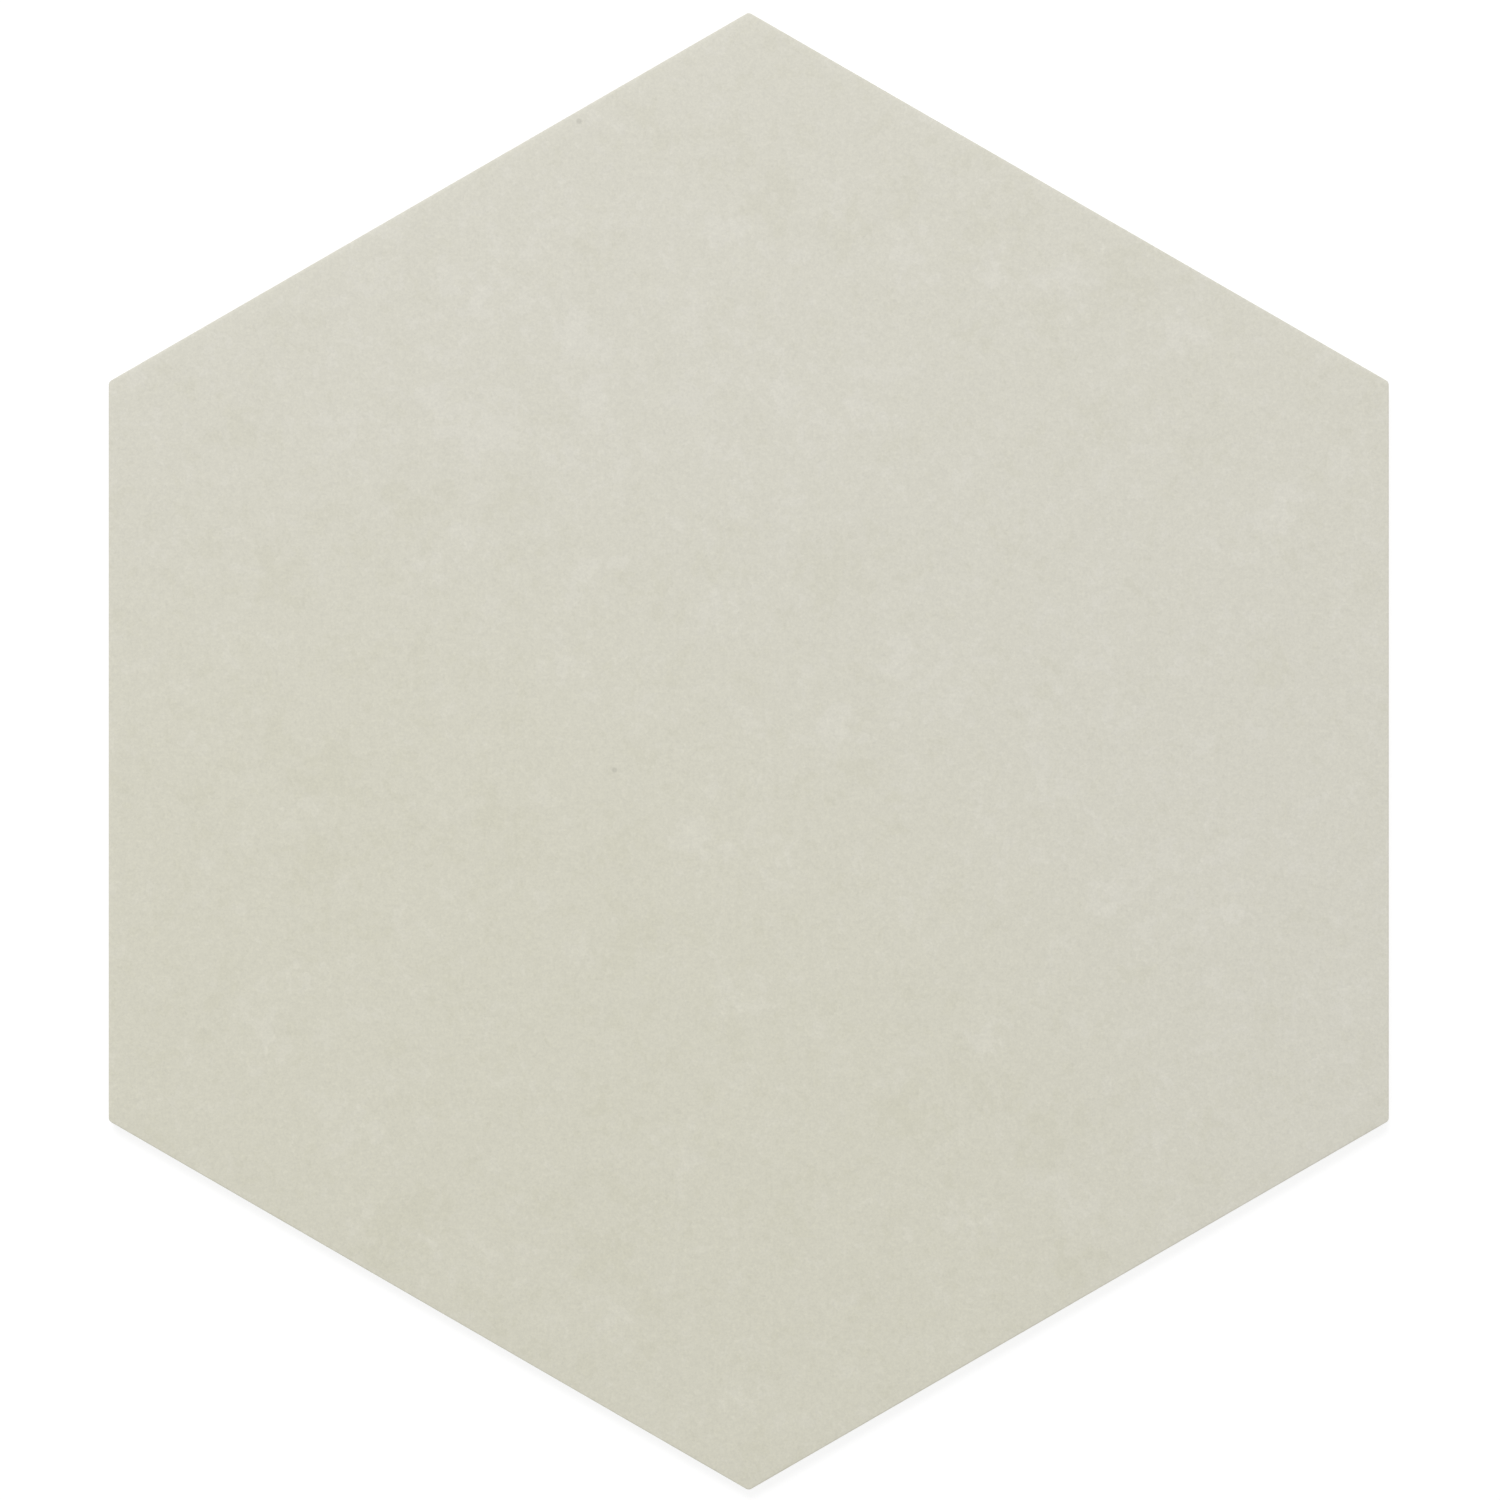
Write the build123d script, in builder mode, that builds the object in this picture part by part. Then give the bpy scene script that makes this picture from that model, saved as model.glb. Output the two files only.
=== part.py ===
"""Hexagonal vinyl floor tile: one flat sheet of filled vinyl, die-cut to a regular hexagon.

Frame: +Z is up, out of the wear face, and the origin is the middle of the back, which lies on the floor.
One corner points along +Y, so two of the six cut edges stand square to X. Sizes are in millimetres.
"""

import os

from build123d import *

# Driving dimensions
across_flats = 200.0  # from one cut edge to the opposite one
thickness = 3.0  # from the back to the wear face
arris_radius = 0.3  # rounding of the edge all round the wear face
face_corner_radius = 0.5  # corners of the wear face, inside that rounded edge

# Worked-out sizes
cut_corner_radius = face_corner_radius + arris_radius  # upright corners, as the die leaves them
inscribed_radius = across_flats / 2
side_count = 6
corner_to_y = 90  # turns a corner of the outline onto +Y

# Floor tile: the die-cut outline, raised to the wear face, with its upper edge eased
with BuildPart() as floor_tile:
    with BuildSketch() as cut_outline:
        RegularPolygon(inscribed_radius, side_count, major_radius=False, rotation=corner_to_y)
        fillet(cut_outline.vertices(), cut_corner_radius)
    extrude(amount=thickness)
    wear_face = floor_tile.faces().sort_by(Axis.Z)[-1]
    fillet(wear_face.edges(), arris_radius)
floor_tile.part.label = "floor_tile"

# Files
os.makedirs("parts", exist_ok=True)
export_step(floor_tile.part, "parts/floor_tile.step")
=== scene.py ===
# %% [markdown]
# A hexagonal vinyl floor tile
#
# The tile is one flat sheet of filled vinyl, die-cut to a hexagon, with a matt print on its wear face
# that looks like smooth cement. The CAD model holds the outline, the thickness and the eased edge. This
# lesson gives the tile the surface that a floor layer sees and feels: the faint waves of the pressed
# face, the mottle of the print, the die's marks on the cut edges and the sanded back. Everything stays
# inside the CAD tile's box.

# %% Load the frame
import math

import bmesh
import bpy
import numpy as np
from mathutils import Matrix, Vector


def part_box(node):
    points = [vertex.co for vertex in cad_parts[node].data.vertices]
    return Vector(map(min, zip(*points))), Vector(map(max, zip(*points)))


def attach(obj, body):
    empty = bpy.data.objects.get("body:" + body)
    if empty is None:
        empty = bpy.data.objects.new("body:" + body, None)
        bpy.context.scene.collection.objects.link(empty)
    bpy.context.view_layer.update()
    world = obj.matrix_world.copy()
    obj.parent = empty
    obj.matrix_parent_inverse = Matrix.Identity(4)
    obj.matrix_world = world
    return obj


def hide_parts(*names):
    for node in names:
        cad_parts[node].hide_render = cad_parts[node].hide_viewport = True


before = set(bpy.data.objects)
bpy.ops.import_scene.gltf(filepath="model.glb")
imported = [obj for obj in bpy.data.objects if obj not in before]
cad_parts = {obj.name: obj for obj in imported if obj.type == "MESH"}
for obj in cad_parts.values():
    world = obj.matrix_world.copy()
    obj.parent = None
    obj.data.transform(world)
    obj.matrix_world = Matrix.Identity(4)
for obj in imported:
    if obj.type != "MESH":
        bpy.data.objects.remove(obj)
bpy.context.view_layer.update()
bpy.context.scene.view_settings.view_transform = "Standard"

# %% [markdown]
# Sizes from the frame
#
# The tile's sizes could be typed in once more, but then a changed CAD tile would leave them behind, so
# they are read from it. The tile is twice its half width across flats. Its arris, the rounded upper
# edge, is what the flat top lacks of that half width. A sharp corner would reach 2/sqrt(3) of the half
# width, and the rounding of the upright corners takes a known part off that reach, so the reach gives
# the radius back.

# %% Read the tile's sizes
MM = 0.001
TOP_TOLERANCE = 0.001 * MM  # points this close to the highest one lie on the flat top
SHARP_REACH = 2 / math.sqrt(3)  # a hexagon's sharp corner, in half widths from the middle

tile_low, tile_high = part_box("floor_tile")
half_width = tile_high.x
thickness = tile_high.z - tile_low.z
cad_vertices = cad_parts["floor_tile"].data.vertices
cad_points = np.empty(3 * len(cad_vertices), np.float32)
cad_vertices.foreach_get("co", cad_points)
cad_points = cad_points.reshape(-1, 3)
on_top = cad_points[:, 2] > tile_high.z - TOP_TOLERANCE
arris = half_width - float(cad_points[on_top, 0].max())
corner_radius = (half_width * SHARP_REACH - tile_high.y) / (SHARP_REACH - 1)
print(f"half width {half_width / MM:.2f} mm, thickness {thickness / MM:.2f} mm, "
      f"arris {arris / MM:.3f} mm, corner radius {corner_radius / MM:.3f} mm")

# %% [markdown]
# The wear face as a lattice
#
# The wear face is a hexagon, and a hexagon can be filled with equal triangles: no stretched cells, no
# pole in the middle. A point is q steps towards one corner plus r steps towards the next one, which is
# a sheared square grid. The hexagon keeps the cells where q, r and their sum all stay within the number
# of steps. A round grid of rings and spokes would crowd its points in the middle, where the face has no
# more detail than elsewhere.

# %% Fill a hexagon with equal triangles
SIDES = 6
side_angles = np.arange(SIDES) * math.tau / SIDES  # outward from each cut edge, the first along +X
corner_angles = side_angles - math.pi / SIDES  # side k runs from corner k to corner k + 1


def directions(angles):
    """Unit vectors in the plane of the tile: cosine and sine of each angle."""
    return np.stack([np.cos(angles), np.sin(angles)], axis=-1)


def hexagon_lattice(steps, reach):
    """Points, triangles and outer ring of a hexagon whose corners lie at that reach.

    A point is q/steps of the first corner plus r/steps of the second one. Each cell of the (q, r) grid is
    two triangles. The ring runs counter-clockwise from the first corner.
    """
    span = np.arange(-steps, steps + 1)
    q, r = np.meshgrid(span, span, indexing="ij")
    inside = np.abs(q + r) <= steps
    number = np.full(q.shape, -1)
    number[inside] = np.arange(inside.sum())
    first_corner, second_corner = reach / steps * directions(corner_angles[:2])
    points = q[inside][:, None] * first_corner + r[inside][:, None] * second_corner
    here, next_q = number[:-1, :-1].ravel(), number[1:, :-1].ravel()
    next_r, across = number[:-1, 1:].ravel(), number[1:, 1:].ravel()
    lower = np.stack([here, next_q, next_r], axis=1)
    upper = np.stack([next_q, across, next_r], axis=1)
    triangles = np.concatenate([lower, upper])
    triangles = triangles[(triangles >= 0).all(axis=1)]
    corners = np.array([(1, 0), (0, 1), (-1, 1), (-1, 0), (0, -1), (1, -1)])  # as shares of q and r
    along = np.arange(steps)[None, :, None]
    edge = (steps - along) * corners[:, None] + along * np.roll(corners, -1, axis=0)[:, None]
    ring = number[edge[..., 0].ravel() + steps, edge[..., 1].ravel() + steps]
    return points, triangles, ring


FACE_STEPS = 160  # about 0.7 mm a step, fine enough for the clouds of the print
BACK_STEPS = FACE_STEPS // 4  # the back is plain and flat
core_reach = (half_width - corner_radius) * SHARP_REACH  # the corners are rounded about this hexagon's
face_points, face_triangles, face_ring = hexagon_lattice(FACE_STEPS, core_reach)
back_points, back_triangles, back_ring = hexagon_lattice(BACK_STEPS, core_reach)
print(f"wear face {len(face_points)} points, {len(face_triangles)} triangles; back {len(back_triangles)}")

# %% [markdown]
# The rim as a profile carried round a path
#
# Round the lattice runs the rim: a narrow flat, the arris, the upright cut edge. A Bevel modifier could
# round the edge, but a profile carried round a path keeps both of the CAD's radii, and its rows and
# columns unroll into flat strips further down. The path follows the core hexagon. At a corner it stands
# still while its outward direction turns by 60 degrees, so the profile sweeps out a rounded corner by
# itself and never pinches, whatever the radius.

# %% Lay the path round the core hexagon
CORNER_STEPS = 10

straight = np.linspace(0, 1, FACE_STEPS + 1)
turning = np.arange(1, CORNER_STEPS) / CORNER_STEPS
share_of_side = np.concatenate([straight, np.ones(CORNER_STEPS - 1)])
share_of_turn = np.concatenate([np.zeros(FACE_STEPS + 1), turning])
side_start = core_reach * directions(corner_angles)[:, None]
side_end = np.roll(side_start, -1, axis=0)
path_points = (side_start + share_of_side[None, :, None] * (side_end - side_start)).reshape(-1, 2)
path_outward = directions(side_angles[:, None] + share_of_turn * math.tau / SIDES).reshape(-1, 2)
RING = len(path_points)
print(f"path of {RING} points, {RING // SIDES} to a side and its corner")

# %% Carry the profile round the path
ARRIS_STEPS = 6
SIDE_STEPS = 4

arris_turn = np.linspace(0, math.pi / 2, ARRIS_STEPS + 1)
side_heights = np.linspace(thickness - arris, 0, SIDE_STEPS + 1)[1:]
arris_out = corner_radius - arris + arris * np.sin(arris_turn)
arris_up = thickness - arris + arris * np.cos(arris_turn)
profile_out = np.concatenate([arris_out, np.full(SIDE_STEPS, corner_radius)])
profile_up = np.concatenate([arris_up, side_heights])
rim_points = path_points[None] + profile_out[:, None, None] * path_outward[None]
rim_heights = np.repeat(profile_up[:, None], RING, axis=1)
print(f"rim of {len(profile_out)} rings")

# %% [markdown]
# Relief of the wear face
#
# A vinyl sheet is pressed hot and cut by a die. The press leaves very gentle waves, and the die pulls
# the skin down a little along every cut edge, so the edges that slope towards the light catch a soft
# lighter band. Both could be bump in the material, but they are real shapes, so they go into the mesh.
# They only ever lower the face, so the tile stays as thick as the CAD says.

# %% Lower the face by the edge's pull and the press's waves
ROLL_DEPTH = 0.11 * MM  # how far the skin is drawn down at a cut edge
ROLL_LENGTH = 1.5 * MM  # how fast that fades inwards
WAVE_HEIGHT = 0.006 * MM
WAVE_LENGTHS = (5 * MM, 24 * MM)
WAVE_COUNT = 48
RELIEF_SEED = 11


def random_waves(points, seed, lengths):
    """Sum of the cosines of plane waves, over the root of half their number, which makes its spread 1.

    The headings and phases are random, and the wavelengths are evenly graded between the two lengths.
    """
    random = np.random.default_rng(seed)
    heading = random.uniform(0, math.tau, WAVE_COUNT)
    phase = random.uniform(0, math.tau, WAVE_COUNT)
    waves = directions(heading) * math.tau / np.geomspace(*lengths, WAVE_COUNT)[:, None]
    return np.cos(points @ waves.T + phase).sum(axis=1) / math.sqrt(WAVE_COUNT / 2)


def edge_distances(points):
    """How far a point lies inside each cut edge: half width less its reach in that edge's direction."""
    return half_width - points @ directions(side_angles).T


def edge_pull(points):
    """Each cut edge lowers a point by the roll's depth times exp(-distance / roll length); the six add."""
    return ROLL_DEPTH * np.exp(-edge_distances(points) / ROLL_LENGTH).sum(axis=1)


rim_flat = rim_points.reshape(-1, 2)
upper_points = np.concatenate([face_points, rim_flat])
press_waves = random_waves(upper_points, RELIEF_SEED, WAVE_LENGTHS)
upper_drop = edge_pull(upper_points) + WAVE_HEIGHT * (press_waves.max() - press_waves)
face_drop = upper_drop[: len(face_points)]
rim_drop = upper_drop[len(face_points):].reshape(rim_heights.shape)
share_on_top = np.clip((rim_heights - (thickness - arris)) / arris, 0, 1)
face_heights = thickness - face_drop
rim_heights = rim_heights - share_on_top * rim_drop
print(f"face lies {face_drop.min() / MM:.4f} to {face_drop.max() / MM:.3f} mm below the CAD plane")

# %% [markdown]
# Clouds of the print
#
# The print has small pale wisps and slightly darker patches, gathered into broad paler and duskier
# areas. Over the whole face the colour also turns a little yellower towards the lower left, which is
# painted warm light. Noise alone would give clouds of the right size in the wrong places, so the ones
# that show are listed as soft blots in pixels of the photograph's frame. A wavy shift of the points
# tears the small blots into wisps, and random waves fill the rest. The results are numbers at each
# point, which the material reads as attributes.

# %% Place the wisps and patches
# Each place is its centre across, its centre down and its reach, in pixels
light_wisps = [
    (736, 228, 20), (903, 254, 24), (995, 268, 17), (1060, 272, 24), (475, 292, 18), (1180, 330, 20),
    (578, 336, 24), (434, 388, 15), (440, 416, 16), (484, 430, 17), (590, 395, 17), (565, 450, 15),
    (782, 392, 15), (855, 412, 16), (465, 528, 10), (425, 565, 15), (583, 575, 14), (1282, 510, 20),
    (725, 607, 14), (560, 662, 20), (890, 662, 15), (840, 732, 18), (690, 830, 18), (712, 852, 15),
    (780, 862, 18), (912, 925, 14), (306, 985, 12), (270, 1025, 12), (765, 995, 16), (728, 1005, 20),
    (985, 1038, 15), (1165, 1080, 14), (1110, 890, 13), (1225, 920, 16), (372, 1125, 14), (1150, 1150, 13),
    (685, 1155, 20), (1062, 1195, 20), (975, 1218, 20), (432, 1245, 13), (618, 1325, 12), (730, 1395, 22),
]
dark_patches = [
    (655, 130, 15), (780, 178, 14), (770, 217, 16), (850, 225, 16), (908, 205, 15), (1005, 226, 14),
    (600, 255, 20), (1130, 275, 20), (968, 335, 14), (195, 395, 15), (235, 425, 16), (1097, 425, 16),
    (518, 504, 14), (402, 508, 18), (1005, 540, 12), (355, 550, 14), (515, 560, 16), (280, 570, 18),
    (712, 568, 14), (622, 580, 14), (655, 595, 18), (825, 575, 26), (1048, 675, 12), (1272, 668, 16),
    (325, 775, 20), (860, 770, 18), (810, 787, 13), (890, 815, 13), (315, 862, 22), (495, 820, 14),
    (645, 935, 13), (229, 990, 14), (1135, 973, 13), (602, 1115, 18), (905, 1115, 20), (1042, 1130, 20),
    (1200, 1130, 14), (425, 1205, 24), (380, 1247, 16), (605, 1255, 22), (1070, 1262, 14),
    (1275, 1010, 18),
]
pale_areas = [
    (430, 330, 130), (620, 360, 150), (800, 430, 110), (1020, 700, 150), (1165, 900, 130),
    (340, 1050, 100),
]
dusky_areas = [
    (780, 130, 110), (1130, 270, 180), (370, 740, 190), (640, 900, 110), (680, 1210, 170),
    (970, 1110, 100), (860, 560, 90),
]
# Painted warm light: the centre and reach of the yellower tint, in pixels
WARM_LIGHT_CENTRE = (300, 1500)  # pixels
WARM_LIGHT_REACH = 910  # pixels
print(f"{len(light_wisps)} wisps, {len(dark_patches)} patches, {len(pale_areas)} pale areas, "
      f"{len(dusky_areas)} dusky areas")

# %% Turn the places into clouds
PHOTO_SIDE = 1500  # pixels, both ways
PHOTO_SCALE = 6403.0  # pixels per metre of wear face
PHOTO_CENTRE = np.array([748.75, 751.3])  # the tile's middle, in pixels from the top left
TEAR = 1.3 * MM  # how far the wavy shift carries a point
TEAR_LENGTHS = (2 * MM, 9 * MM)
TEAR_SEEDS = (21, 22)  # across and down
CLOUD_LENGTHS = (5 * MM, 28 * MM)
CLOUD_SEED = 23
PATCH_WEIGHT = 1.05  # of a dark patch, next to a pale wisp
AREA_WEIGHT = 0.15
WAVE_WEIGHT = 0.13


def from_photo(pixels):
    """Metres on the tile from pixels of the photograph: across is +X, down is -Y."""
    return (np.asarray(pixels, float) - PHOTO_CENTRE) / PHOTO_SCALE * (1, -1)


def blots(points, places):
    """Sum of round soft blots: exp(-(distance / reach)^2) about each place."""
    total = np.zeros(len(points))
    for across, down, reach in places:
        away = points - from_photo((across, down))
        total += np.exp(-(away ** 2).sum(axis=1) * (PHOTO_SCALE / reach) ** 2)
    return total


shift = np.stack([random_waves(upper_points, seed, TEAR_LENGTHS) for seed in TEAR_SEEDS], axis=1)
torn_points = upper_points + TEAR * shift
wisps = blots(torn_points, light_wisps)
clouds = wisps - PATCH_WEIGHT * blots(torn_points, dark_patches)
clouds += AREA_WEIGHT * (blots(upper_points, pale_areas) - blots(upper_points, dusky_areas))
clouds += WAVE_WEIGHT * random_waves(torn_points, CLOUD_SEED, CLOUD_LENGTHS)
print(f"clouds from {clouds.min():.2f} to {clouds.max():.2f}, spread {clouds.std():.2f}")

# %% Paint warm light into the tint and a highlight along the edges
WARM_LIGHT_FADE = 30 * MM  # half the width of the band in which the tint turns
PAINTED_HIGHLIGHT_LENGTH = 0.5 * MM  # how far the painted highlight along the edges reaches inwards

warm_light_distance = np.linalg.norm(upper_points - from_photo(WARM_LIGHT_CENTRE), axis=1)
# Painted warm light: about 1 towards the lower left, where the tint turns yellower, and -1 far from it
painted_warm_light = np.tanh((WARM_LIGHT_REACH / PHOTO_SCALE - warm_light_distance) / WARM_LIGHT_FADE)
# Painted highlight: 1 at every cut edge, fading inwards; the tone turns paler there
painted_edge_highlight = np.exp(-edge_distances(upper_points).min(axis=1) / PAINTED_HIGHLIGHT_LENGTH)
print(f"warmth from {painted_warm_light.min():.2f} to {painted_warm_light.max():.2f}")

# %% [markdown]
# One closed mesh
#
# Lattice, rim and back could stay three loose sheets for a picture, but only a closed skin has a
# volume, as the real tile does, so they are joined. Neighbouring rings have different numbers of points
# where the lattice meets the rim and where the rim meets the coarse back, so each strip is told which
# inner point faces each outer one. Where two neighbours face the same point, the strip's four-sided
# face becomes a triangle.

# %% Join the parts into faces
RIM_FIRST = len(face_points)
BACK_FIRST = RIM_FIRST + len(rim_flat)
rim_numbers = RIM_FIRST + np.arange(len(rim_flat)).reshape(rim_heights.shape)
station = np.tile(np.minimum(np.arange(RING // SIDES), FACE_STEPS), SIDES)
side_number = np.repeat(np.arange(SIDES), RING // SIDES)


def strip(inner, outer):
    """Faces between two rings of equal length, inner to outer; repeated inner points give triangles."""
    inner_next, outer_next = np.roll(inner, -1), np.roll(outer, -1)
    four = np.stack([inner, outer, outer_next, inner_next], axis=1)
    three = four[:, :3]
    same = inner == inner_next
    return four[~same].tolist() + three[same].tolist()


def rim_strips(first, last):
    """Faces of the rim from its first to its last ring, row by row."""
    return [face for row in range(first, last) for face in strip(rim_numbers[row], rim_numbers[row + 1])]


def facing(ring, steps):
    """The ring's point that faces each station of the rim: same side, same share of its length."""
    return ring[(side_number * steps + station * steps // FACE_STEPS) % (SIDES * steps)]


wear_faces = face_triangles.tolist() + strip(facing(face_ring, FACE_STEPS), rim_numbers[0])
arris_faces = rim_strips(0, ARRIS_STEPS)
cut_faces = rim_strips(ARRIS_STEPS, ARRIS_STEPS + SIDE_STEPS)
back_fan = strip(facing(back_ring, BACK_STEPS) + BACK_FIRST, rim_numbers[-1])
back_faces = [face[::-1] for face in (back_triangles + BACK_FIRST).tolist() + back_fan]
groups = [wear_faces, arris_faces, cut_faces, back_faces]
ARRIS, CUT, BACK = 1, 2, 3  # their places in that list
print("faces of wear face, arris, cut edge and back:", [len(group) for group in groups])

# %% Put the points and faces into a mesh
SLOT_OF_GROUP = np.array([0, 0, 1, 2])  # the print runs over the arris
SHARP_ANGLE = math.radians(40)  # a steeper edge than this is drawn sharp

points = np.concatenate([
    np.column_stack([face_points, face_heights]),
    np.column_stack([rim_flat, rim_heights.ravel()]),
    np.column_stack([back_points, np.zeros(len(back_points))]),
])
mesh = bpy.data.meshes.new("hexagon_tile")
mesh.from_pydata(points, [], [face for group in groups for face in group])
group_of_face = np.repeat(np.arange(len(groups)), [len(group) for group in groups])
mesh.polygons.foreach_set("material_index", SLOT_OF_GROUP[group_of_face])
mesh.polygons.foreach_set("use_smooth", np.ones(len(mesh.polygons), bool))
mesh.set_sharp_from_angle(angle=SHARP_ANGLE)
# Clouds and wisps are print; the warm light and the edge highlight are painted light
for name, upper_values in (("clouds", clouds), ("wisps", wisps), ("painted_warm_light", painted_warm_light), ("painted_edge_highlight", painted_edge_highlight)):
    values = np.concatenate([upper_values, np.zeros(len(back_points))])
    mesh.attributes.new(name, "FLOAT", "POINT").data.foreach_set("value", values)
tile = bpy.data.objects.new("hexagon_tile", mesh)
bpy.context.scene.collection.objects.link(tile)
print(f"mesh of {len(mesh.vertices)} points and {len(mesh.polygons)} faces")

# %% Check that the skin is closed
CM = 0.01
probe = bmesh.new()
probe.from_mesh(mesh)
open_edges = sum(not edge.is_manifold for edge in probe.edges)
triangle_count = sum(len(face.verts) - 2 for face in probe.faces)
volume = probe.calc_volume(signed=True)
print(f"{triangle_count} triangles, {open_edges} open edges, {volume / CM ** 3:.2f} cubic centimetres")
probe.free()

# %% [markdown]
# A flat map for baked pictures
#
# Games and web viewers can't run these materials, so they have to be baked into pictures. Blender can
# lay out such a picture by itself, but it doesn't know which side of a tile matters most. So the map is
# laid out here: the wear face gets most of it, seen square on, the back is a smaller hexagon
# beside it, and the six lengths of rim lie as strips above them. The hexagons keep their shape, the
# strips are drawn out to about twice their length, and nothing overlaps.

# %% Lay the two hexagons on the map
MAP_GAP = 0.01
GAPS_ACROSS = 3  # left of the wear face, between it and the back, and right of the back
FACE_SHARE = 0.86  # height of the wear face in the map

face_scale = FACE_SHARE / (2 * tile_high.y)
back_scale = (1 - GAPS_ACROSS * MAP_GAP - 2 * half_width * face_scale) / (2 * half_width)
face_middle = MAP_GAP + np.array([half_width, tile_high.y]) * face_scale
back_middle = np.array([1 - MAP_GAP - half_width * back_scale, MAP_GAP + tile_high.y * back_scale])

loop_points = np.empty(len(mesh.loops), np.int32)
mesh.loops.foreach_get("vertex_index", loop_points)
face_sizes = np.array([len(face) for group in groups for face in group])
loop_groups = np.repeat(group_of_face, face_sizes)
seen_from_above = points[loop_points, :2]
seen_from_below = seen_from_above * (-1, 1)
face_uv = face_middle + seen_from_above * face_scale
back_uv = back_middle + seen_from_below * back_scale
uv = np.where((loop_groups == BACK)[:, None], back_uv, face_uv)
print(f"a millimetre on the map: {face_scale * MM:.5f} on the wear face, {back_scale * MM:.5f} on the back")

# %% Lay the six lengths of rim above them
STRIP_TALL = 0.014
STRIP_FLOOR = FACE_SHARE + 2.5 * MAP_GAP  # where the lowest strip starts
STRIP_PITCH = STRIP_TALL + 0.6 * MAP_GAP  # from one strip to the next

profile_length = np.concatenate([[0], np.cumsum(np.hypot(np.diff(profile_out), np.diff(profile_up)))])
cut_ring = rim_points[ARRIS_STEPS]
path_step = np.linalg.norm(np.roll(cut_ring, -1, axis=0) - cut_ring, axis=1)
path_length = np.concatenate([[0], np.cumsum(path_step)])
strip_length = path_length[-1] / SIDES

row_number = np.clip((loop_points - RIM_FIRST) // RING, 0, len(profile_length) - 1)
column_number = (loop_points - RIM_FIRST) % RING
loop_face = np.repeat(np.arange(len(face_sizes)), face_sizes)
first_loop = np.concatenate([[0], np.cumsum(face_sizes)[:-1]])
start_column = column_number[first_loop][loop_face]
strip_number = start_column // (RING // SIDES)
# The ring's last face ends one column past the last, not back at the first
strip_column = np.where(column_number < start_column, start_column + 1, column_number)
share_along = path_length[np.clip(strip_column, 0, RING)] / strip_length - strip_number
share_down = profile_length[row_number] / profile_length[-1]
strip_across = MAP_GAP + (1 - 2 * MAP_GAP) * share_along
strip_up = STRIP_FLOOR + strip_number * STRIP_PITCH + STRIP_TALL * (1 - share_down)
on_rim = (loop_groups == ARRIS) | (loop_groups == CUT)
uv[on_rim] = np.stack([strip_across, strip_up], axis=1)[on_rim]
mesh.uv_layers.new(name="OFBake").data.foreach_set("uv", uv.astype(np.float32).ravel())
print(f"map spans {uv.min(axis=0).round(3)} to {uv.max(axis=0).round(3)}")

# %% [markdown]
# Building materials from nodes
#
# Each material is a small graph of nodes, which could be drawn by hand in the Shader Editor. Written
# down as code, it needs two helpers to stay readable: one adds a node and plugs in its inputs, and the
# other works out a sum.

# %% Helpers for nodes


def add_node(tree, kind, inputs=(), **settings):
    """A node with its settings; inputs pairs a socket's name or number with a value or another socket."""
    node = tree.nodes.new(kind)
    for name, value in settings.items():
        setattr(node, name, value)
    for socket, value in dict(inputs).items():
        if isinstance(value, bpy.types.NodeSocket):
            tree.links.new(value, node.inputs[socket])
        else:
            node.inputs[socket].default_value = value
    return node


def sum_of(tree, operation, *values):
    """The output of a Math node: MULTIPLY, MAXIMUM, MULTIPLY_ADD and so on, of values or sockets."""
    return add_node(tree, "ShaderNodeMath", enumerate(values), operation=operation).outputs[0]


print("helpers:", add_node.__name__, "and", sum_of.__name__)

# %% [markdown]
# Filler grain, shared by all three finishes
#
# Vinyl tiles are mostly ground chalk, and its grains show as a fine sandy speckle on every surface. A
# picture of sand would repeat and need a file of its own, so the speckle is Blender's noise. The three
# finishes use it at different sizes, so it is one node group. It reads the place on the object and
# gives a number that is 0 on average.

# %% Make the filler grain group
FINER_STRENGTH = 0.8  # of each finer step, next to the one before
GRAIN_TWIST = 0.3
NOISE_MIDDLE = 0.5  # the noise runs from 0 to 1
SPECKLE_GAIN = 4.0

grain_group = bpy.data.node_groups.new("filler grain", "ShaderNodeTree")
for socket, kind in (("Place", "NodeSocketVector"), ("Grain Size", "NodeSocketFloat"),
                     ("Finer Steps", "NodeSocketFloat")):
    grain_group.interface.new_socket(socket, in_out="INPUT", socket_type=kind)
grain_group.interface.new_socket("Speckle", in_out="OUTPUT", socket_type="NodeSocketFloat")
group_in = add_node(grain_group, "NodeGroupInput").outputs
per_metre = sum_of(grain_group, "DIVIDE", 1.0, group_in["Grain Size"])
speckle_noise = add_node(grain_group, "ShaderNodeTexNoise", {
    "Vector": group_in["Place"], "Scale": per_metre, "Detail": group_in["Finer Steps"],
    "Roughness": FINER_STRENGTH, "Distortion": GRAIN_TWIST})
centred = sum_of(grain_group, "SUBTRACT", speckle_noise.outputs[0], NOISE_MIDDLE)
speckle = sum_of(grain_group, "MULTIPLY", centred, SPECKLE_GAIN)
add_node(grain_group, "NodeGroupOutput", {"Speckle": speckle})


def grain(tree, place, size, finer_steps):
    """The speckle of one placing of the group, with grains of that size in metres."""
    inputs = {"Place": place, "Grain Size": size, "Finer Steps": finer_steps}
    return add_node(tree, "ShaderNodeGroup", inputs, node_tree=grain_group).outputs["Speckle"]


print("group sockets:", [socket.name for socket in grain_group.interface.items_tree])

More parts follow.
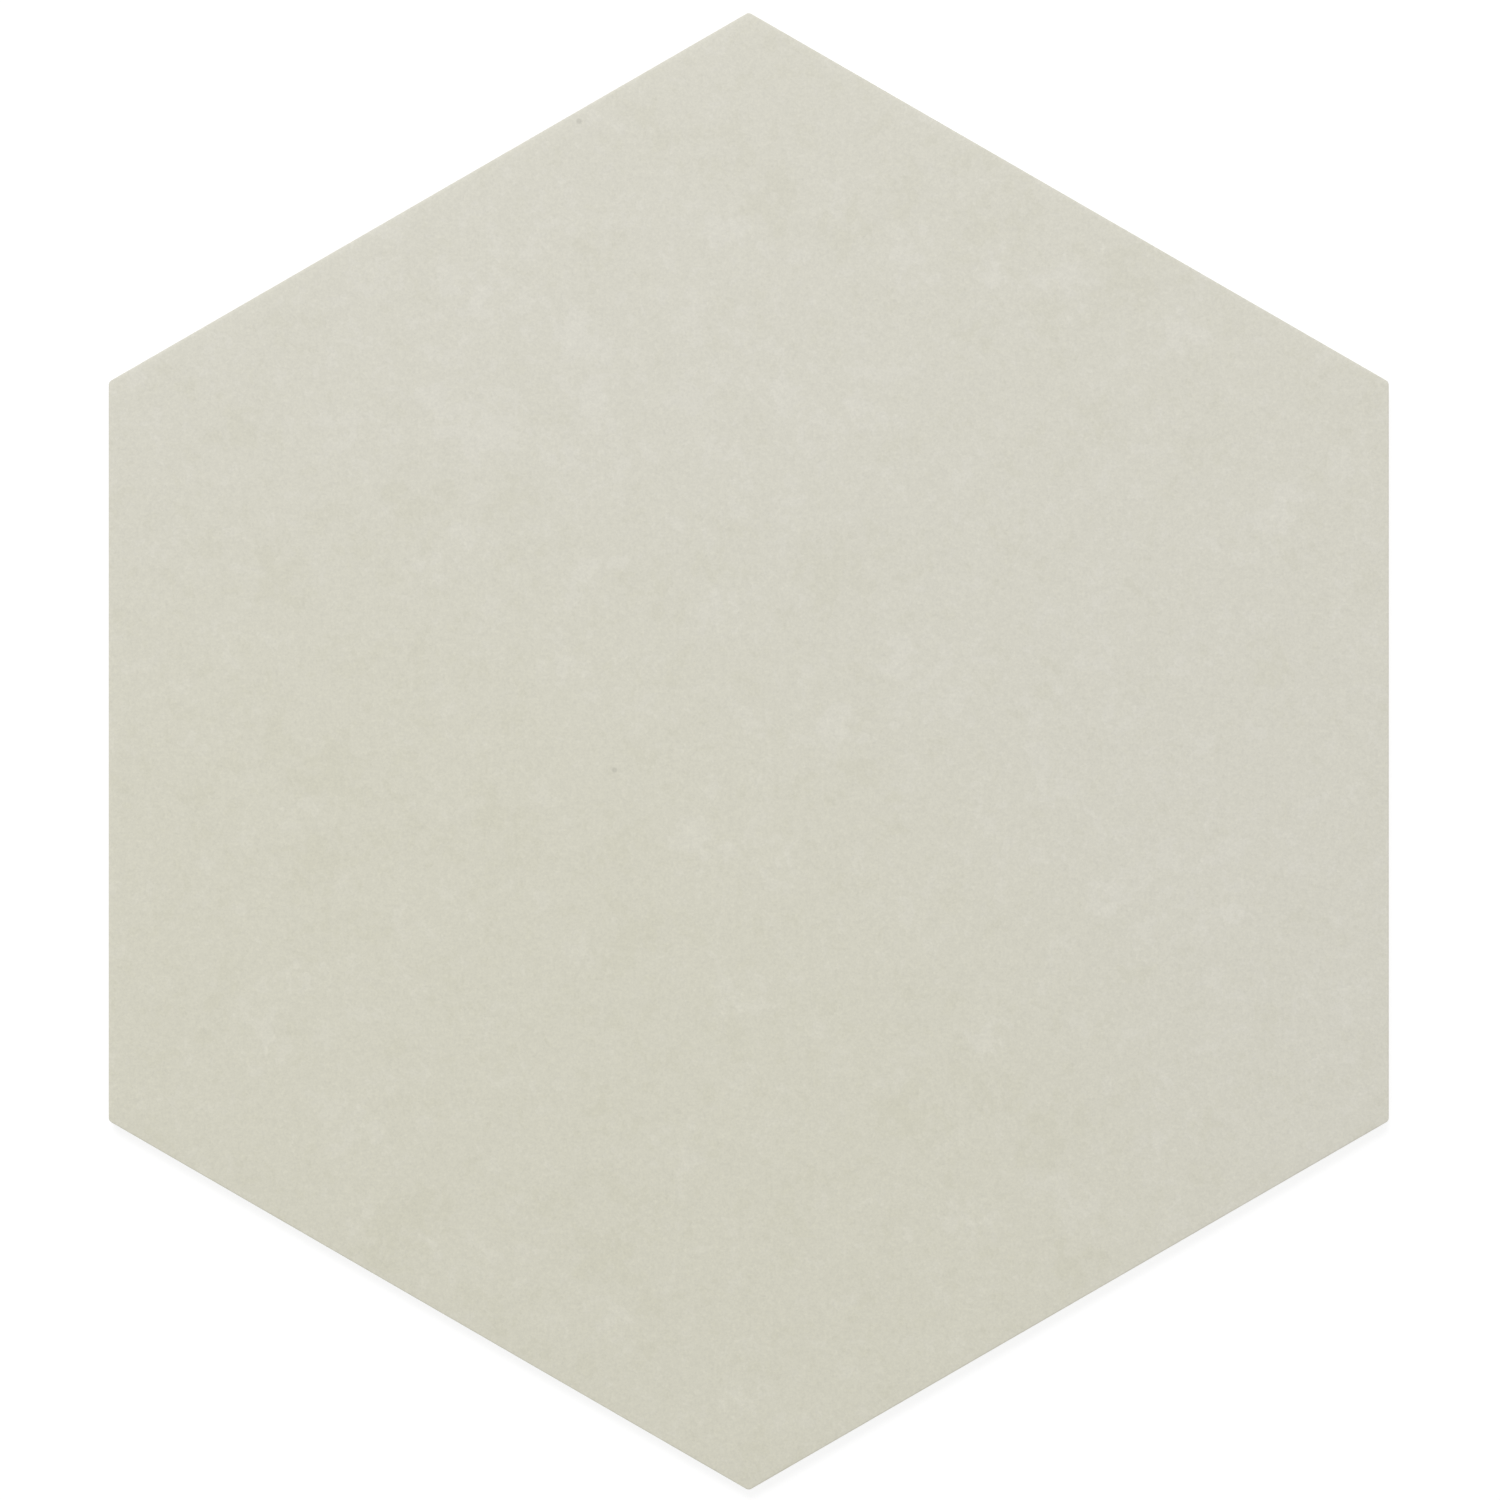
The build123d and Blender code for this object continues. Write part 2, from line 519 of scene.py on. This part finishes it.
# %% [markdown]
# The printed wear face
#
# At the factory the print is a picture on a film. A picture could be laid on the face here too, but it
# would blur close up, so the print is worked out from the clouds and the grain. It is a pale warm grey
# that hardly varies: its marks are about two per cent lighter or darker. So the colour is a tint times
# a tone. The tone adds up the clouds, crisp flecks of a few millimetres that turn pale or dark with the
# clouds, pale curds in the wisps, sand of about a millimetre and fine grain. A painted highlight makes
# every edge a little paler, and two dark specks of filler sit where the photograph shows them. The tint
# runs between two close greys: pale marks are a touch cooler, dark ones a touch yellower, and painted
# warm light turns the lower left yellower.

# %% Start the print with the numbers at the points


def new_material(name):
    """An empty node material, with its output and a Principled shader joined to it."""
    material = bpy.data.materials.new(name)
    material.use_nodes = True
    tree = material.node_tree
    tree.nodes.clear()
    shader = add_node(tree, "ShaderNodeBsdfPrincipled")
    add_node(tree, "ShaderNodeOutputMaterial", {"Surface": shader.outputs["BSDF"]})
    return material, tree, shader


def point_value(tree, name):
    """The number that each point of the mesh holds under that name."""
    return add_node(tree, "ShaderNodeAttribute", attribute_name=name).outputs["Fac"]


wear, tree, shader = new_material("printed wear face")
place = add_node(tree, "ShaderNodeTexCoord").outputs["Object"]
cloud = point_value(tree, "clouds")
# Painted warm light, which turns the tint yellower towards the lower left
warm = point_value(tree, "painted_warm_light")
wisp = point_value(tree, "wisps")
# Painted highlight, which makes every edge a little paler
painted_highlight = point_value(tree, "painted_edge_highlight")
print("nodes so far:", len(tree.nodes))

# %% Make the flecks, curds and sand
FLECK_SIZE = 3.8 * MM
FLECK_STEPS = 3.0
CROWDING = 0.85  # how strongly the clouds turn the flecks pale or dark
FLECK_START, FLECK_FULL = 0.32, 0.46  # speckle at which a fleck begins and is complete
CURD_SIZE = 1.4 * MM
CURD_STEPS = 1.5
CURD_BREAK = 1.10  # how strongly the grain breaks a wisp into curds
CURD_START, CURD_FULL = 0.90, 1.10
SAND_SIZE = 0.9 * MM
SAND_STEPS = 1.5
FINE_SIZE = 0.42 * MM
FINE_STEPS = 1.0


def add_up(tree, start, *marks):
    """The start plus each mark's value times its strength."""
    total = start
    for value, strength in marks:
        total = sum_of(tree, "MULTIPLY_ADD", value, strength, total)
    return total


def soft_step(tree, value, start, full):
    """0 up to the start, 1 from full on, and a smooth rise between them."""
    inputs = {"Value": value, "From Min": start, "From Max": full}
    return add_node(tree, "ShaderNodeMapRange", inputs, interpolation_type="SMOOTHSTEP").outputs[0]


sand = grain(tree, place, SAND_SIZE, SAND_STEPS)
fine = grain(tree, place, FINE_SIZE, FINE_STEPS)
crowd = add_up(tree, grain(tree, place, FLECK_SIZE, FLECK_STEPS), (cloud, CROWDING))
pale = soft_step(tree, crowd, FLECK_START, FLECK_FULL)
dark = soft_step(tree, crowd, -FLECK_START, -FLECK_FULL)
broken_wisp = add_up(tree, wisp, (grain(tree, place, CURD_SIZE, CURD_STEPS), CURD_BREAK))
curd = soft_step(tree, broken_wisp, CURD_START, CURD_FULL)
print("nodes with the marks:", len(tree.nodes))

# %% Add the dark specks
specks = [(614.5, 770, 2.6), (579, 121, 2.8)]  # centre across, centre down and radius, in pixels
SPECK_RIM, SPECK_HEART = 1.4, 0.5  # where a speck begins and is full, in its radii


def speck_mask(tree, place):
    """1 inside a dark speck and 0 outside: how far the place lies inside the nearest speck's radius."""
    mask = 0.0
    for across, down, radius in specks:
        centre = (*from_photo((across, down)), thickness)
        away = add_node(tree, "ShaderNodeVectorMath", {0: place, 1: centre}, operation="DISTANCE")
        size = radius / PHOTO_SCALE
        inside = soft_step(tree, away.outputs["Value"], SPECK_RIM * size, SPECK_HEART * size)
        mask = sum_of(tree, "MAXIMUM", inside, mask)
    return mask


speck = speck_mask(tree, place)
print("dark specks:", len(specks))

# %% Colour the print, with painted warm light and a painted edge highlight
VINYL_COOL = (0.650, 0.634, 0.552, 1)
VINYL_WARM = (0.650, 0.634, 0.530, 1)
CLOUD_TONE = 0.007
PALE_TONE = 0.0240
DARK_TONE = 0.0210
CURD_TONE = 0.025
SAND_TONE = 0.037
FINE_TONE = 0.046
# Painted highlight along the edges, as a share of the tone
PAINTED_HIGHLIGHT_TONE = 0.040
SPECK_TONE = 0.18
FLECK_COOL = 0.55  # how much cooler a pale fleck is, and how much yellower a dark one
CLOUD_COOL = 0.30
HALFWAY = 0.5  # between the cooler and the yellower grey

# The tone holds the print's marks and the painted highlight along the edges
tone = add_up(tree, 1.0, (cloud, CLOUD_TONE), (curd, CURD_TONE), (pale, PALE_TONE), (dark, -DARK_TONE),
              (sand, SAND_TONE), (fine, FINE_TONE), (painted_highlight, PAINTED_HIGHLIGHT_TONE), (speck, -SPECK_TONE))
contrast = sum_of(tree, "SUBTRACT", pale, dark)
# The hue follows the painted warm light, and the print's pale flecks and clouds turn it cooler
hue = add_up(tree, warm, (contrast, -FLECK_COOL), (cloud, -CLOUD_COOL))
mix_share = add_up(tree, HALFWAY, (hue, HALFWAY))
tint = add_node(tree, "ShaderNodeMix", {"Factor": mix_share, "A": VINYL_COOL, "B": VINYL_WARM},
                data_type="RGBA", clamp_factor=False).outputs["Result"]
print_colour = add_node(tree, "ShaderNodeVectorMath", {0: tint, "Scale": tone}, operation="SCALE")
print("nodes with the colour:", len(tree.nodes))

# %% Finish it with a matt, finely grained surface
VINYL_IOR = 1.5
SAND_HEIGHT = 0.0022 * MM
FINE_RELIEF = 0.35  # of the fine grain, next to the sand
MATT = 0.58
SAND_MATT = 0.04  # how much the roughness follows the sand


def dress(material, shader, colour, relief, height, roughness):
    """Gives the shader its colour, a bump of that height and its roughness, and the tile the material."""
    tree = material.node_tree
    bump = add_node(tree, "ShaderNodeBump", {"Height": relief, "Distance": height, "Strength": 1.0})
    tree.links.new(colour, shader.inputs["Base Color"])
    tree.links.new(bump.outputs["Normal"], shader.inputs["Normal"])
    tree.links.new(roughness, shader.inputs["Roughness"])
    shader.inputs["IOR"].default_value = VINYL_IOR
    mesh.materials.append(material)
    print(f"{material.name}: {len(tree.nodes)} nodes")


face_relief = add_up(tree, sand, (fine, FINE_RELIEF))
face_roughness = add_up(tree, MATT, (sand, SAND_MATT))
dress(wear, shader, print_colour.outputs["Vector"], face_relief, SAND_HEIGHT, face_roughness)

# %% [markdown]
# The cut edge
#
# A die shears the sheet, and its blade drags filler along, so the cut edge is a little chalkier and
# rougher than the print, with fine upright marks. Cut into the mesh, marks of a hundredth of a
# millimetre would take far too many faces, so they are colour and bump. They are the same grain, read
# from a place that is squeezed along Z, which draws every speck out into a short upright line.

# %% Make the cut finish
EDGE_DARK = (0.520, 0.507, 0.428, 1)
EDGE_LIGHT = (0.700, 0.687, 0.602, 1)
EDGE_MIDDLE = 0.5  # between the darker and the lighter colour
UPRIGHT = (1, 1, 0.12)  # squeezes the place along Z
MARK_SIZE, MARK_STEPS, MARK_TONE = 0.5 * MM, 2.0, 0.14
BROAD_SIZE, BROAD_STEPS, BROAD_TONE = 4.0 * MM, 1.0, 0.10
CHALK_SIZE, CHALK_STEPS, CHALK_TONE = 0.45 * MM, 2.0, 0.12
MARK_HEIGHT = 0.012 * MM
CHALK_RELIEF = 0.5  # of the chalk, next to the marks
EDGE_ROUGH, CHALK_ROUGH = 0.72, 0.05

cut, tree, shader = new_material("die cut edge")
place = add_node(tree, "ShaderNodeTexCoord").outputs["Object"]
drawn_out = add_node(tree, "ShaderNodeMapping", {"Vector": place, "Scale": UPRIGHT}).outputs["Vector"]
marks = grain(tree, drawn_out, MARK_SIZE, MARK_STEPS)
broad = grain(tree, drawn_out, BROAD_SIZE, BROAD_STEPS)
chalk = grain(tree, place, CHALK_SIZE, CHALK_STEPS)
tone = add_up(tree, EDGE_MIDDLE, (marks, MARK_TONE), (broad, BROAD_TONE), (chalk, CHALK_TONE))
cut_colour = add_node(tree, "ShaderNodeMix", {"Factor": tone, "A": EDGE_DARK, "B": EDGE_LIGHT},
                      data_type="RGBA").outputs["Result"]
cut_relief = add_up(tree, marks, (chalk, CHALK_RELIEF))
cut_roughness = add_up(tree, EDGE_ROUGH, (chalk, CHALK_ROUGH))
dress(cut, shader, cut_colour, cut_relief, MARK_HEIGHT, cut_roughness)

# %% [markdown]
# The back
#
# The back of a glue-down tile is plain and is sanded so that glue grips it. Sanding leaves fine
# parallel scratches. Like the die's marks they are too fine for the mesh, and again they are the same
# grain, this time drawn out along Y, over a plain greyer vinyl.

# %% Make the sanded finish
BACK_DARK = (0.450, 0.440, 0.385, 1)
BACK_LIGHT = (0.600, 0.590, 0.525, 1)
BACK_MIDDLE = 0.5  # between the darker and the lighter colour
LENGTHWISE = (1, 0.03, 1)  # squeezes the place along Y
SCRATCH_SIZE, SCRATCH_STEPS, SCRATCH_TONE = 0.6 * MM, 2.0, 0.18
CLOUDY_SIZE, CLOUDY_STEPS, CLOUDY_TONE = 12 * MM, 4.0, 0.12
SCRATCH_HEIGHT = 0.01 * MM
BACK_ROUGH, CLOUDY_ROUGH = 0.75, 0.05

back, tree, shader = new_material("sanded back")
place = add_node(tree, "ShaderNodeTexCoord").outputs["Object"]
drawn_out = add_node(tree, "ShaderNodeMapping", {"Vector": place, "Scale": LENGTHWISE}).outputs["Vector"]
scratches = grain(tree, drawn_out, SCRATCH_SIZE, SCRATCH_STEPS)
cloudy = grain(tree, place, CLOUDY_SIZE, CLOUDY_STEPS)
tone = add_up(tree, BACK_MIDDLE, (scratches, SCRATCH_TONE), (cloudy, CLOUDY_TONE))
back_colour = add_node(tree, "ShaderNodeMix", {"Factor": tone, "A": BACK_DARK, "B": BACK_LIGHT},
                       data_type="RGBA").outputs["Result"]
back_roughness = add_up(tree, BACK_ROUGH, (cloudy, CLOUDY_ROUGH))
dress(back, shader, back_colour, scratches, SCRATCH_HEIGHT, back_roughness)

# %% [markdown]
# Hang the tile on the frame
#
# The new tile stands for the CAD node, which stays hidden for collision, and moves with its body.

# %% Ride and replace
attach(tile, "root")
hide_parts("floor_tile")

# %% [markdown]
# Floor and light
#
# A photographer would lay the tile on white paper under a big soft lamp and let the room fill the
# shadows. A white room alone would light it too, but flatly, with no brighter side. The lamp stands
# beyond the tile's top corner, a little to the left, so the tile is brightest there. To the camera the
# paper is white mostly by its own glow, with enough real paper left in it to keep the tile's shadow,
# and further out it turns plain white.

# %% Lay the floor
FLOOR_HALF = 4.0
floor_mesh = bpy.data.meshes.new("floor")
floor_corners = FLOOR_HALF * np.array([(-1, -1, 0), (1, -1, 0), (1, 1, 0), (-1, 1, 0)])
floor_mesh.from_pydata(floor_corners, [], [(0, 1, 2, 3)])
floor = bpy.data.objects.new("floor", floor_mesh)
bpy.context.scene.collection.objects.link(floor)
print(f"floor {2 * FLOOR_HALF:.0f} m wide")

# %% Make the paper
PAPER_BOUNCE = 0.8  # share of the light that the paper throws back on the tile
FLOOR_GLOW = 0.76  # the paper's own brightness to the camera
FLOOR_PAPER = 0.31  # the part that the lamp lights and the tile shades
SHADOW_NEAR, SHADOW_FAR = 0.3, 0.9  # metres from the middle; the paper turns plain white between them


def grey(level):
    """An opaque colour with that much of red, green and blue alike."""
    return (level, level, level, 1)


def seen_directly(tree):
    """1 for rays from the camera, a mirror or glass, and 0 for light on its way to a matt surface."""
    path = add_node(tree, "ShaderNodeLightPath").outputs
    either = sum_of(tree, "MAXIMUM", path["Is Camera Ray"], path["Is Glossy Ray"])
    return sum_of(tree, "MAXIMUM", either, path["Is Transmission Ray"])


paper = bpy.data.materials.new("white paper")
paper.use_nodes = True
tree = paper.node_tree
tree.nodes.clear()
lit = add_node(tree, "ShaderNodeBsdfDiffuse", {"Color": grey(PAPER_BOUNCE)}).outputs[0]
lit_part = add_node(tree, "ShaderNodeBsdfDiffuse", {"Color": grey(FLOOR_PAPER)}).outputs[0]
glow = add_node(tree, "ShaderNodeEmission", {"Color": grey(1), "Strength": FLOOR_GLOW}).outputs[0]
near = add_node(tree, "ShaderNodeAddShader", {0: lit_part, 1: glow}).outputs[0]
white = add_node(tree, "ShaderNodeEmission", {"Color": grey(1), "Strength": 1.0}).outputs[0]
place = add_node(tree, "ShaderNodeTexCoord").outputs["Object"]
away = add_node(tree, "ShaderNodeVectorMath", {0: place}, operation="LENGTH").outputs["Value"]
far = soft_step(tree, away, SHADOW_NEAR, SHADOW_FAR)
seen = add_node(tree, "ShaderNodeMixShader", {0: far, 1: near, 2: white}).outputs[0]
either = add_node(tree, "ShaderNodeMixShader", {0: seen_directly(tree), 1: lit, 2: seen}).outputs[0]
add_node(tree, "ShaderNodeOutputMaterial", {"Surface": either})
floor_mesh.materials.append(paper)
print("paper nodes:", len(tree.nodes))

# %% Fill the room with light
ROOM_LEVEL = 0.623

world = bpy.data.worlds.new("white room")
bpy.context.scene.world = world
world.use_nodes = True
tree = world.node_tree
tree.nodes.clear()
room = add_node(tree, "ShaderNodeBackground", {"Color": grey(1), "Strength": ROOM_LEVEL}).outputs[0]
white = add_node(tree, "ShaderNodeBackground", {"Color": grey(1), "Strength": 1.0}).outputs[0]
either = add_node(tree, "ShaderNodeMixShader", {0: seen_directly(tree), 1: room, 2: white}).outputs[0]
add_node(tree, "ShaderNodeOutputWorld", {"Surface": either})
print(f"room level {ROOM_LEVEL}")

# %% Hang the lamp
LAMP_POWER = 16.4  # watts
LAMP_SIZE = 0.9  # metres across
LAMP_DISTANCE = 1.9
LAMP_AZIMUTH = math.radians(102)  # counter-clockwise from +X
LAMP_ELEVATION = math.radians(52)

lamp_data = bpy.data.lights.new("soft lamp", "AREA")
lamp_data.shape = "DISK"
lamp_data.size = LAMP_SIZE
lamp_data.energy = LAMP_POWER
lamp = bpy.data.objects.new("soft lamp", lamp_data)
lamp.location = LAMP_DISTANCE * np.array([
    math.cos(LAMP_ELEVATION) * math.cos(LAMP_AZIMUTH),
    math.cos(LAMP_ELEVATION) * math.sin(LAMP_AZIMUTH),
    math.sin(LAMP_ELEVATION),
])
lamp.rotation_euler = (math.pi / 2 - LAMP_ELEVATION, 0, LAMP_AZIMUTH + math.pi / 2)
bpy.context.scene.collection.objects.link(lamp)
print("lamp at", [round(value, 3) for value in lamp.location])

# %% [markdown]
# The camera
#
# The photograph looks straight down, with the tile almost filling the frame. An orthographic camera
# would do for a flat tile, but a long lens is what a photographer would use. The photograph's scale
# gives how much of the wear face the frame spans, and the lens then gives how high the camera stands.

# %% Point the camera straight down
LENS = 100.0
SENSOR = 36.0
frame_span = PHOTO_SIDE / PHOTO_SCALE
camera_data = bpy.data.cameras.new("camera")
camera_data.lens = LENS
camera_data.sensor_width = SENSOR
camera = bpy.data.objects.new("camera", camera_data)
camera.location = (*from_photo((PHOTO_SIDE / 2, PHOTO_SIDE / 2)), thickness + frame_span * LENS / SENSOR)
bpy.context.scene.collection.objects.link(camera)
bpy.context.scene.camera = camera
print(f"camera {camera.location.z:.3f} m above the floor, frame spans {frame_span / MM:.1f} mm")

# %% [markdown]
# Finish
#
# The finished tile has to fill the same box as the CAD tile.

# %% Finish
bpy.context.view_layer.update()
